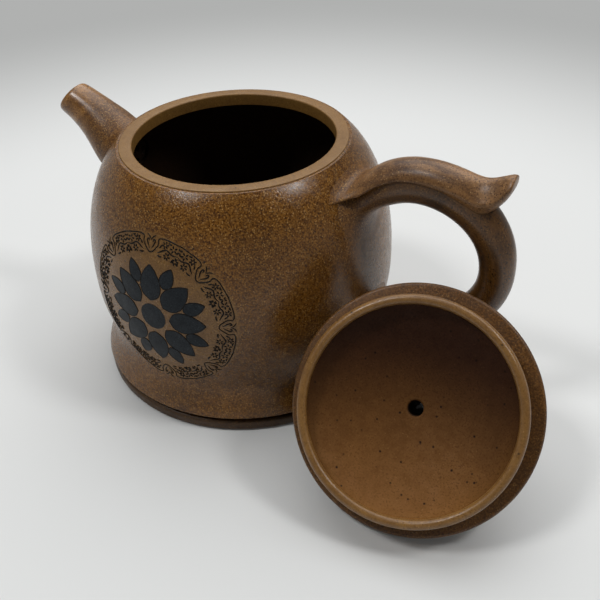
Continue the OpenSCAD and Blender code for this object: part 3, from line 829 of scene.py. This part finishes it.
# %% Leaf on the arm
LEAF_ROWS = [
    # x, height of the edge, half width, heights of top and crease, tuck of the crease, dome power
    (47.0, 73.4, 8.8, 78.0, 72.3, 0.94, 0.7),
    (50.2, 76.1, 7.4, 80.6, 75.0, 0.92, 0.7),
    (54.0, 78.2, 6.6, 82.6, 77.2, 0.92, 0.7),
    (58.0, 79.6, 6.2, 84.0, 78.6, 0.92, 0.7),
    (62.0, 80.3, 6.1, 84.7, 79.3, 0.92, 0.7),
    (67.0, 80.4, 6.0, 84.9, 78.8, 0.92, 0.7),
    (71.5, 80.3, 6.0, 84.3, 77.2, 0.92, 0.75),
    (75.5, 79.6, 6.0, 83.6, 75.1, 0.90, 0.9),
    (79.0, 78.1, 6.1, 82.9, 73.3, 0.87, 1.1),
    (82.0, 77.7, 6.0, 83.0, 73.0, 0.84, 1.25),
    (84.6, 78.7, 5.8, 84.1, 74.5, 0.81, 1.3),
    (86.8, 80.6, 5.2, 85.1, 76.9, 0.78, 1.2),
    (88.1, 82.2, 4.5, 85.6, 79.1, 0.78, 1.0),
    (88.9, 83.2, 3.8, 85.6, 81.0, 0.80, 0.9),
    (89.3, 83.8, 3.0, 85.3, 82.4, 0.84, 0.8),
]
LEAF_COLUMNS, NEAR_ROW = 13, 0.01
RIDGE_X, RIDGE_END, RIDGE_CREASE = 71.0, 87.5, 0.6
across = len(LEAF_ROWS)
first_new = across * LEAF_COLUMNS
long_edges = (0, LEAF_COLUMNS - 1)
clear_selection()
bpy.ops.mesh.primitive_grid_add(x_subdivisions=across - 1, y_subdivisions=LEAF_COLUMNS - 1, size=2.0)
leaf = name_piece("handle_leaf_piece")
with editing(leaf):
    for row, (x, edge_z, half_w, top_z, _, _, power) in enumerate(LEAF_ROWS):
        for column in range(1, LEAF_COLUMNS - 1):
            s = -1 + 2 * column / (LEAF_COLUMNS - 1)
            choose(leaf, lambda vert: vert.index == column * across + row)
            move(0, 0, (1 - s * s) ** power)
        choose(leaf, lambda vert: vert.index % across == row)
        start_x = -1 + 2 * row / (across - 1)
        scale((1, half_w * MM, (top_z - edge_z) * MM), (start_x, 0, 0))
        move(x * MM - start_x, 0, edge_z * MM)
    choose(leaf, lambda vert: vert.index // across in long_edges)
    bpy.ops.mesh.extrude_region_move()
    for x, edge_z, _, _, crease_z, tuck, _ in LEAF_ROWS:
        choose(leaf, lambda vert: vert.index >= first_new and abs(vert.co.x / MM - x) < NEAR_ROW)
        move(0, 0, (crease_z - edge_z) * MM)
        scale((1, tuck, 1), (x * MM, 0, 0))
    choose(leaf, lambda vert: vert.index < first_new and vert.index // across in long_edges
           and RIDGE_X < vert.co.x / MM < RIDGE_END)
    bpy.ops.transform.edge_crease(value=RIDGE_CREASE)
print("leaf before its root:", len(leaf.data.polygons), "faces")

# %% [markdown]
# ## The leaf's root
# At the root the leaf spreads over the shoulder like a fan, so its first row is bridged to half a collar. Its
# two lower edges are then bridged to each other, and the tip is filled.

# %% Leaf root and underside
leaf_collar = lay_collar("leaf_collar", 1, 70.7, (13.8, 5.7), (16.8, 6.9), 2 * (LEAF_COLUMNS + 1), True)
join_root(leaf, leaf_collar, lambda at: abs(at.x - LEAF_ROWS[0][0]) < NEAR_ROW, 0)
tip_x, tip_z = LEAF_ROWS[-1][:2]


def on_lower_edge(vert, layer, sunk):
    """True for the leaf's two lower edges, from the tip to the ends of the collar."""
    on_tip = abs(vert.co.x / MM - tip_x) < NEAR_ROW and vert.co.z / MM > tip_z - NEAR_ROW
    inside_arc = sunk in vert[layer] and len(vert.link_edges) > 2
    return vert.is_boundary and not on_tip and not inside_arc


with editing(leaf):
    layer = bmesh.from_edit_mesh(leaf.data).verts.layers.deform.verify()
    sunk = leaf.vertex_groups["sunk_ring"].index
    choose(leaf, lambda vert: on_lower_edge(vert, layer, sunk))
    bpy.ops.mesh.bridge_edge_loops()
close_up(leaf)
refine(leaf)
dress(leaf, "pot", "handle_clay", [leaf_clay], "handle_leaf")

# %% [markdown]
# ## A picture wrapped on the belly
# On the front of the belly sits a round picture in dark slip: a flowering vine between eight bracket-shaped
# dips, round a big flower. It is drawn flat and then wrapped by length along the skin, both ways, so it keeps
# its size. No operator does that, so the points are moved one by one.

# %% Wrapping helpers
SKIN_STEP, CLIMB_STEPS = 0.1, 300


def climb(direction):
    """Heights on the body after each step along its skin, up or down from the picture's middle."""
    heights = [PICTURE_Z]
    for _ in range(CLIMB_STEPS):
        z = heights[-1]
        slope = (body_radius(z + SKIN_STEP) - body_radius(z - SKIN_STEP)) / (2 * SKIN_STEP)
        heights.append(z + direction * SKIN_STEP / hypot(1, slope))
    return heights


climbs = {1: climb(1), -1: climb(-1)}


def wrap_on_belly(piece):
    """Wraps a picture drawn flat, facing -Y, on the front of the belly."""
    for vert in piece.data.vertices:
        across, inwards, up = vert.co / MM
        steps = abs(up) / SKIN_STEP
        heights = climbs[1 if up > 0 else -1]
        below = heights[int(steps)]
        z = below + (heights[int(steps) + 1] - below) * (steps - int(steps))
        radius = body_radius(z)
        turned = across / radius
        vert.co = Vector(((radius - inwards) * sin(turned), (inwards - radius) * cos(turned), z)) * MM


def copy_round(count):
    """In edit mode, copies what is selected round the picture's middle."""
    for _ in range(count - 1):
        bpy.ops.mesh.duplicate()
        swing(2 * pi / count)


print("the picture may reach from", round(climbs[-1][-1], 1), "to", round(climbs[1][-1], 1), "mm high")

# %% [markdown]
# ## Lines of the picture
# A potter draws one part of the ring, turns the stencil and repeats it. Here one eighth is drawn with curves
# that have a section and tapered ends, made a mesh and copied round in edit mode. The lines stand a few
# tenths of a millimetre proud, as thick slip does.

# %% Lines of the round picture
SECTORS, BAND_R, SECTOR_HALF = 8, 23.2, 9.11
LINE_HALF, LINE_SUNK, TAPER = 0.2, 0.08, 0.45
BRACKET_BOLD, VINE_BOLD, LEAF_BOLD, PETAL_BOLD = 1.4, 1.6, 2.4, 1.3


def blossom(x, y, angles, near=0.35, far=1.2):
    """Short strokes that stand round a point of the band like petals, at angles in degrees."""
    ways = [Vector((cos(radians(a)), sin(radians(a)))) for a in angles]
    return [[tuple(Vector((x, y)) + way * reach) for reach in (near, (near + far) / 2, far)] for way in ways]


# Points are millimetres along the band and outwards from its middle, and each line is mirrored
BRACKET = [(SECTOR_HALF, 3.2), (5.0, 3.2), (3.2, 3.1), (2.0, 2.4), (2.7, 1.2), (2.1, 0.0), (1.2, -1.3),
           (0.6, -1.9), (0.0, -1.9)]
BUD = [[(0.3, -0.8), (0.9, 0.2), (1.5, 1.3), (1.1, 2.1), (0.5, 1.7), (0.7, 1.1)],
       [(0.0, 1.6), (0.3, 2.4), (0.7, 3.0), (1.4, 3.2)]]
VINE = [[(2.5, -1.5), (3.5, -1.1), (4.5, 0.1), (5.7, 0.4), (6.9, -0.4), (8.0, -0.5), (SECTOR_HALF, 0.1)]]
LEAVES = [[(3.0, 0.1), (3.4, 0.5), (3.4, 1.1)], [(2.6, -2.2), (3.5, -2.5), (4.3, -2.2)],
          [(7.8, -2.5), (8.2, -2.0), (8.2, -1.4)], [(5.4, 2.5), (5.9, 2.2), (6.4, 2.4)],
          [(8.3, 0.6), (8.8, 0.9), (9.0, 1.4)], [(8.5, 2.4), (8.8, 2.1), (9.1, 2.0)]]
BLOSSOMS = (blossom(4.6, 1.5, range(20, 380, 60), 0.3, 1.1) + blossom(5.9, -1.5, range(0, 360, 60))
            + blossom(7.3, 1.3, range(45, 405, 72)) + blossom(SECTOR_HALF, -1.7, range(105, 271, 55)))
PETALS = [
    # distance of the foot and of the tip from the middle, half width, turn in sectors
    (5.8, 17.4, 3.6, 0.0),
    (11.6, 18.8, 2.2, 0.5),
]
PETAL_STEPS = 12


def in_band(x, y):
    """A point of the band on the flat picture."""
    return Vector(((BAND_R + y) * sin(x / BAND_R), LINE_SUNK, (BAND_R + y) * cos(x / BAND_R))) * MM


def draw_line(curve, points, bold, tapered):
    """Adds one smooth line to a curve. Bold is its width against the usual one."""
    line = curve.splines.new("NURBS")
    line.points.add(len(points) - 1)
    for number, (spot, at) in enumerate(zip(line.points, points)):
        spot.co = (*at, 1.0)
        spot.radius = bold * (TAPER if tapered and number in (0, len(points) - 1) else 1.0)
    line.order_u = 4
    line.use_endpoint_u = True
    line.resolution_u = 4


def petal_half(t, half_w):
    """Half width of a petal along its length, from its foot at zero to its tip at one."""
    return half_w * sin(pi * t**0.75) ** 0.7 if 0 < t < 1 else 0.0


def petal_edge(side, foot, tip, half_w, turned):
    """Points along one edge of a petal."""
    angle = turned * 2 * pi / SECTORS
    edge = []
    for i in range(PETAL_STEPS + 1):
        wide, far = side * petal_half(i / PETAL_STEPS, half_w), foot + (tip - foot) * i / PETAL_STEPS
        edge.append(Vector((wide * cos(angle) + far * sin(angle), LINE_SUNK,
                            far * cos(angle) - wide * sin(angle))) * MM)
    return edge


clear_selection()
bpy.ops.curve.primitive_nurbs_path_add()
drawing = bpy.context.object.data
drawing.splines.clear()
drawing.bevel_depth = LINE_HALF * MM
drawing.bevel_resolution = 0
drawing.use_fill_caps = True
for side in (1, -1):
    draw_line(drawing, [in_band(side * x, y) for x, y in BRACKET], BRACKET_BOLD, False)
    for bold, strokes in ((VINE_BOLD, BUD + VINE), (LEAF_BOLD, LEAVES + BLOSSOMS)):
        for points in strokes:
            draw_line(drawing, [in_band(side * x, y) for x, y in points], bold, True)
    for petal in PETALS:
        draw_line(drawing, petal_edge(side, *petal), PETAL_BOLD, False)
bpy.ops.object.convert(target="MESH")
lines = name_piece("picture_lines")
with editing(lines):
    bpy.ops.mesh.remove_doubles(threshold=WELD)
    bpy.ops.mesh.normals_make_consistent()
    copy_round(SECTORS)
bpy.ops.object.shade_smooth()
wrap_on_belly(lines)
dress(lines, "pot", "dark_clay", [line_slip])

# %% [markdown]
# ## The flower in the picture
# Eight broad petals, eight small leaves between them and a round heart, filled with slate slip. A petal is a
# grid whose rows are scaled to the petal's width. All are given thickness, and stand less than a tenth of a
# millimetre proud.

# %% Petals of the round picture
PETAL_ROWS, PETAL_COLUMNS, PETAL_TIP, HEART_R, HEART_RINGS = 14, 9, 0.05, 4.4, 3
PETAL_LIFT, PETAL_T = 0.07, 0.4
petal_pieces = []
for foot, tip, half_w, turned in PETALS:
    clear_selection()
    bpy.ops.mesh.primitive_grid_add(x_subdivisions=PETAL_COLUMNS - 1, y_subdivisions=PETAL_ROWS - 1, size=2.0,
                                    rotation=(pi / 2, 0, 0))
    petal = name_piece("picture_petal")
    with editing(petal):
        for row in range(PETAL_ROWS):
            t = row / (PETAL_ROWS - 1)
            wide = max(PETAL_TIP, petal_half(t, half_w))
            choose(petal, lambda vert: vert.index // PETAL_COLUMNS == row)
            scale((wide * MM, 1, 1))
            move(0, 0, (foot + (tip - foot) * t) * MM - (2 * t - 1))
        bpy.ops.mesh.select_all(action="SELECT")
        swing(turned * 2 * pi / SECTORS)
        copy_round(SECTORS)
    petal_pieces.append(petal)
clear_selection()
bpy.ops.mesh.primitive_circle_add(vertices=48, radius=HEART_R * MM, fill_type="NGON",
                                  rotation=(pi / 2, 0, 0))
flower = name_piece("picture_flower")
with editing(flower):
    for _ in range(HEART_RINGS):
        bpy.ops.mesh.inset(thickness=HEART_R / (HEART_RINGS + 1) * MM)
pick(flower, *petal_pieces)
bpy.ops.object.join()
with editing(flower):
    move(0, -PETAL_LIFT * MM, 0)
modify(flower, "SOLIDIFY", thickness=PETAL_T * MM, offset=-1.0)
wrap_on_belly(flower)
bpy.ops.object.shade_smooth_by_angle(angle=SMOOTH_ANGLE)
dress(flower, "pot", "dark_clay", [slate_slip])

# %% [markdown]
# ## The lid and where it leans
# The lid is turned upside up about its own axis, with its rolled edge at height zero, and then set down where
# it leans: on its edge and its knob, with its hollow to the front. Under the edge is a flat flange that rests
# on the pot's rim. The hollow is one bowl from the lip to the steam hole, so the ring and the disc share it.

# %% Lid disc
LID_R, EDGE_R, FLANGE_EDGE = 35.4, 2.6, 0.9
EDGE_MID_R = LID_R - EDGE_R
RING_OUT_R, RING_IN_R, RING_H, LIP_R, LIP_START = 31.4, 28.6, 9.6, 1.3, 110
DISH_RISE, DOME_H, BOWL_POWER = 1.0, 9.5, 1.6
STEAM_R, HOLE_EDGE = 2.2, 0.7
KNOB_FOOT_R, PEARL_R, PEARL_MID_R, KNOB_Z, KNOB_HOLE_R = 8.5, 8.0, 5.0, 24.4, 1.2
LID_PLACE, LID_FACING = Vector((78.7, -36.4, 0)), radians(-81)
between = Vector((EDGE_MID_R - PEARL_MID_R, KNOB_Z))
LID_LEAN = acos((PEARL_R - EDGE_R) / between.length) - atan2(between.y, between.x)
LID_PLACE.z = EDGE_MID_R * cos(LID_LEAN) + EDGE_R

lip_z = -EDGE_R - RING_H
lip = arc((RING_IN_R + LIP_R, lip_z + LIP_R), LIP_R, LIP_START, 270, 12)
BOWL_R, bowl_low = lip[0]
bowl_depth = DISH_RISE - bowl_low
deep_share = 1 - (DISH_RISE + EDGE_R) / bowl_depth
BOWL_SEAT_R = BOWL_R * (1 - deep_share**BOWL_POWER) ** (1 / BOWL_POWER)


def dome_z(r):
    """Height of the lid's outside at a radius."""
    return EDGE_R + (DOME_H - EDGE_R) * sqrt(1 - (r / EDGE_MID_R) ** 2)


def bowl_z(r):
    """Height of the lid's inside at a radius: a superellipse that ends steep under the lip."""
    share = min(1.0, r / BOWL_R)
    return DISH_RISE - bowl_depth * (1 - (1 - share**BOWL_POWER) ** (1 / BOWL_POWER))


def bowl_line(near, far, steps=24):
    """Points of the lid's inside from one radius to another."""
    radii = [near + (far - near) * sin(pi / 2 * i / steps) for i in range(steps + 1)]
    return [(r, bowl_z(r)) for r in radii]


def lean_lid(piece):
    """Sets a piece of the lid down where the lid leans."""
    piece.matrix_world = (Matrix.Translation(LID_PLACE * MM) @ Matrix.Rotation(LID_FACING + pi, 4, "Z")
                          @ Matrix.Rotation(pi / 2 + LID_LEAN, 4, "Y"))
    pick(piece)
    bpy.ops.object.transform_apply()


DOME_STEPS, DISH_CEILING = 30, 2.5
hole_r = STEAM_R + HOLE_EDGE
hole_edge = arc((hole_r, bowl_z(hole_r) + HOLE_EDGE), HOLE_EDGE, 180, 270, 6)
flange = arc((LID_R - FLANGE_EDGE, FLANGE_EDGE - EDGE_R), FLANGE_EDGE, -90, 0, 6)
dome_end = asin(KNOB_FOOT_R / EDGE_MID_R)
turns = [pi / 2 + (dome_end - pi / 2) * i / DOME_STEPS for i in range(1, DOME_STEPS + 1)]
dome = [(EDGE_MID_R * sin(a), dome_z(EDGE_MID_R * sin(a))) for a in turns]
lid_outline = hole_edge + bowl_line(hole_r, BOWL_SEAT_R)[1:] + flange
lid_outline += arc((EDGE_MID_R, 0), EDGE_R, 0, 90, 10) + dome
lid_outline += [(STEAM_R, dome_z(KNOB_FOOT_R)), hole_edge[0]]
lid = turn("lid_disc_piece", lid_outline)
paint(lid, 1, lambda at, normal: from_axis(at) < BOWL_SEAT_R and at.z < DISH_CEILING)
# The steam hole takes the dark inner clay: painted shade
paint(lid, 2, lambda at, normal: from_axis(at) < STEAM_R + SLACK)
lean_lid(lid)
dress(lid, "lid", "lid_clay", [lid_clay, dish_clay, inner_shade_clay], "lid_disc")

# %% [markdown]
# ## The lid's ring and knob
# The ring stands out of the flange with a rounded lip and keeps the lid in its place on the mouth. The knob
# is a flattened pearl on a short foot, bored for steam. Both are turned like the disc and set down with it.

# %% Lid ring and knob
KNOB_STEPS = 96
ring_outline = (bowl_line(BOWL_SEAT_R, BOWL_R) + lip[1:]
                + arc((RING_OUT_R - LIP_R, lip_z + LIP_R), LIP_R, 270, 360, 8)
                + [(RING_OUT_R, -EDGE_R), (BOWL_SEAT_R, -EDGE_R)])
ring = turn("lid_ring_piece", ring_outline)
paint(ring, 1, lambda at, normal: from_axis(at) < BOWL_R and at.z > bowl_low)
lean_lid(ring)
dress(ring, "lid", "lip_clay", [lip_clay, dish_clay], "lid_ring")

seat_z = dome_z(KNOB_FOOT_R)
neck_top, neck_foot = Vector((PEARL_MID_R, KNOB_Z - PEARL_R)), Vector((KNOB_FOOT_R, seat_z))
neck_h = neck_top.y - seat_z
neck_curve = (neck_foot, neck_foot + Vector((-0.5, 0.2 * neck_h)), neck_top + Vector((0.3, -0.6 * neck_h)),
              neck_top)
neck = [tuple(bezier(neck_curve, i / PATH_STEPS)[0]) for i in range(PATH_STEPS + 1)]
knob_outline = ([(KNOB_HOLE_R, seat_z)] + neck + arc((PEARL_MID_R, KNOB_Z), PEARL_R, -80, 90, 24)
                + [(KNOB_HOLE_R, KNOB_Z + PEARL_R), (KNOB_HOLE_R, seat_z)])
knob = turn("lid_knob_piece", knob_outline, KNOB_STEPS)
# The knob's bore and underside take the dark inner clay: painted shade
paint(knob, 1, lambda at, normal: from_axis(at) < KNOB_HOLE_R + SLACK or normal.z < -0.99)
lean_lid(knob)
dress(knob, "lid", "lid_clay", [lid_clay, inner_shade_clay], "lid_knob")

# %% [markdown]
# ## Putting things away
# The form of the skin was only a tool, so it is removed.

# %% Finish
bpy.data.objects.remove(skin_form)
